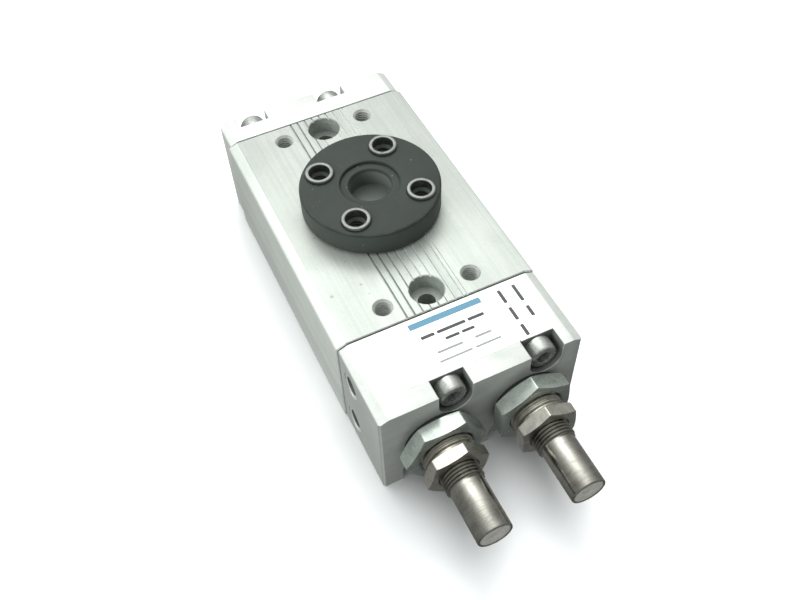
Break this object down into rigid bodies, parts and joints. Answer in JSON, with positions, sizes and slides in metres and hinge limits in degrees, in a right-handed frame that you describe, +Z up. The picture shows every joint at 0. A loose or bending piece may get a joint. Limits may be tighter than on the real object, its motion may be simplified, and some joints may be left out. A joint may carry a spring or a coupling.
{
  "type": "rotary pneumatic actuator",
  "caption": "Compact rotary air actuator: flat aluminium body, round black flange output with centring sleeves, twin racks on one pinion, and adjustable shock absorber end stops.",
  "frame": {"origin": "on the swivel axis, in the plane of the underside", "axes": "+Z up along the swivel axis out of the output flange, +Y along the body away from the end stops, +X across the body"},
  "size_m": [0.064, 0.1651, 0.0472],
  "materials": {
    "housing_aluminium": "clear anodised extrusion, fine lengthwise brushing",
    "cap_aluminium": "clear anodised, machined",
    "black_anodised": "black anodised aluminium, satin",
    "sleeve_steel": "turned stainless steel",
    "zinc_steel": "zinc plated, slightly green grey",
    "nickel_steel": "nickel plated, bright, slightly warm",
    "plug_steel": "satin",
    "screw_steel": "zinc plated socket head screws",
    "machined_steel": "machined and ground",
    "bearing_steel": "ground and polished",
    "seal_rubber": "matt nitrile",
    "label_film": "white film label",
    "magnet": "plastic bonded ring magnet"
  },
  "bodies": {
    "base": {"housing": "housing_aluminium", "bottom_cover": "cap_aluminium", "cover_screw_1": "machined_steel", "cover_screw_2": "machined_steel", "cover_screw_3": "machined_steel", "cross_passage_plug": "machined_steel", "front_cap": "cap_aluminium", "front_cap_screw_lower_inner": "screw_steel", "front_cap_screw_lower_outer": "screw_steel", "front_cap_screw_upper_inner": "screw_steel", "front_cap_screw_upper_outer": "screw_steel", "front_gasket": "seal_rubber", "left_absorber_body": "nickel_steel", "left_absorber_end_plug": "plug_steel", "left_lock_nut": "zinc_steel", "left_sealing_washer": "seal_rubber", "left_stop_sleeve": "nickel_steel", "lower_bearing_outer_ring": "bearing_steel", "rear_cap": "cap_aluminium", "rear_cap_screw_lower_inner": "screw_steel", "rear_cap_screw_lower_outer": "screw_steel", "rear_cap_screw_upper_inner": "screw_steel", "rear_cap_screw_upper_outer": "screw_steel", "rear_gasket": "seal_rubber", "right_absorber_body": "nickel_steel", "right_absorber_end_plug": "plug_steel", "right_lock_nut": "zinc_steel", "right_sealing_washer": "seal_rubber", "right_stop_sleeve": "nickel_steel", "side_label": "label_film", "type_label": "label_film", "upper_bearing_circlip": "machined_steel", "upper_bearing_outer_ring": "bearing_steel"},
    "rotor": {"output_flange": "black_anodised", "centring_sleeve_1": "sleeve_steel", "centring_sleeve_2": "sleeve_steel", "centring_sleeve_3": "sleeve_steel", "centring_sleeve_4": "sleeve_steel", "pinion_shaft": "machined_steel", "flange_clamp_screw": "machined_steel", "drive_pin_left": "machined_steel", "drive_pin_right": "machined_steel", "upper_bearing_inner_ring": "bearing_steel", "lower_bearing_inner_ring": "bearing_steel"},
    "upper_cage": {"upper_bearing_ball_cage": "bearing_steel"},
    "lower_cage": {"lower_bearing_ball_cage": "bearing_steel"},
    "left_piston": {"left_piston_rack": "machined_steel", "left_piston_seal_front": "seal_rubber", "left_piston_seal_rear": "seal_rubber", "left_piston_magnet": "magnet"},
    "right_piston": {"right_piston_rack": "machined_steel", "right_piston_seal_front": "seal_rubber", "right_piston_seal_rear": "seal_rubber", "right_piston_magnet": "magnet"},
    "left_plunger": {"left_absorber_plunger": "machined_steel"},
    "right_plunger": {"right_absorber_plunger": "machined_steel"}
  },
  "joints": [
    {"name": "output_swivel", "type": "hinge", "parent": "base", "child": "rotor", "pos_m": [0, 0, 0.0185], "axis": [0, 0, 1], "range_deg": [-28.3, 16.7]},
    {"name": "left_piston_slide", "type": "slide", "parent": "base", "child": "left_piston", "axis": [0, 1, 0], "range_m": [-0.00293, 0.00495]},
    {"name": "right_piston_slide", "type": "slide", "parent": "base", "child": "right_piston", "axis": [0, 1, 0], "range_m": [-0.00495, 0.00293]},
    {"name": "left_plunger_slide", "type": "slide", "parent": "base", "child": "left_plunger", "axis": [0, 1, 0], "range_m": [-0.00293, 0.00495]},
    {"name": "right_plunger_slide", "type": "slide", "parent": "base", "child": "right_plunger", "axis": [0, 1, 0], "range_m": [-0.00495, 0.00293]},
    {"name": "upper_cage_spin", "type": "hinge", "parent": "base", "child": "upper_cage", "pos_m": [0, 0, 0.032], "axis": [0, 0, 1], "range_deg": [-12.4, 7.36]},
    {"name": "lower_cage_spin", "type": "hinge", "parent": "base", "child": "lower_cage", "pos_m": [0, 0, 0.0055], "axis": [0, 0, 1], "range_deg": [-12.4, 7.36]}
  ],
  "couplings": [
    {"joint": "left_piston_slide", "follows": "output_swivel", "m_per_rad": -0.01},
    {"joint": "right_piston_slide", "follows": "output_swivel", "m_per_rad": 0.01},
    {"joint": "left_plunger_slide", "follows": "output_swivel", "m_per_rad": -0.01},
    {"joint": "right_plunger_slide", "follows": "output_swivel", "m_per_rad": 0.01},
    {"joint": "upper_cage_spin", "follows": "output_swivel", "ratio": 0.4346},
    {"joint": "lower_cage_spin", "follows": "output_swivel", "ratio": 0.4346}
  ]
}
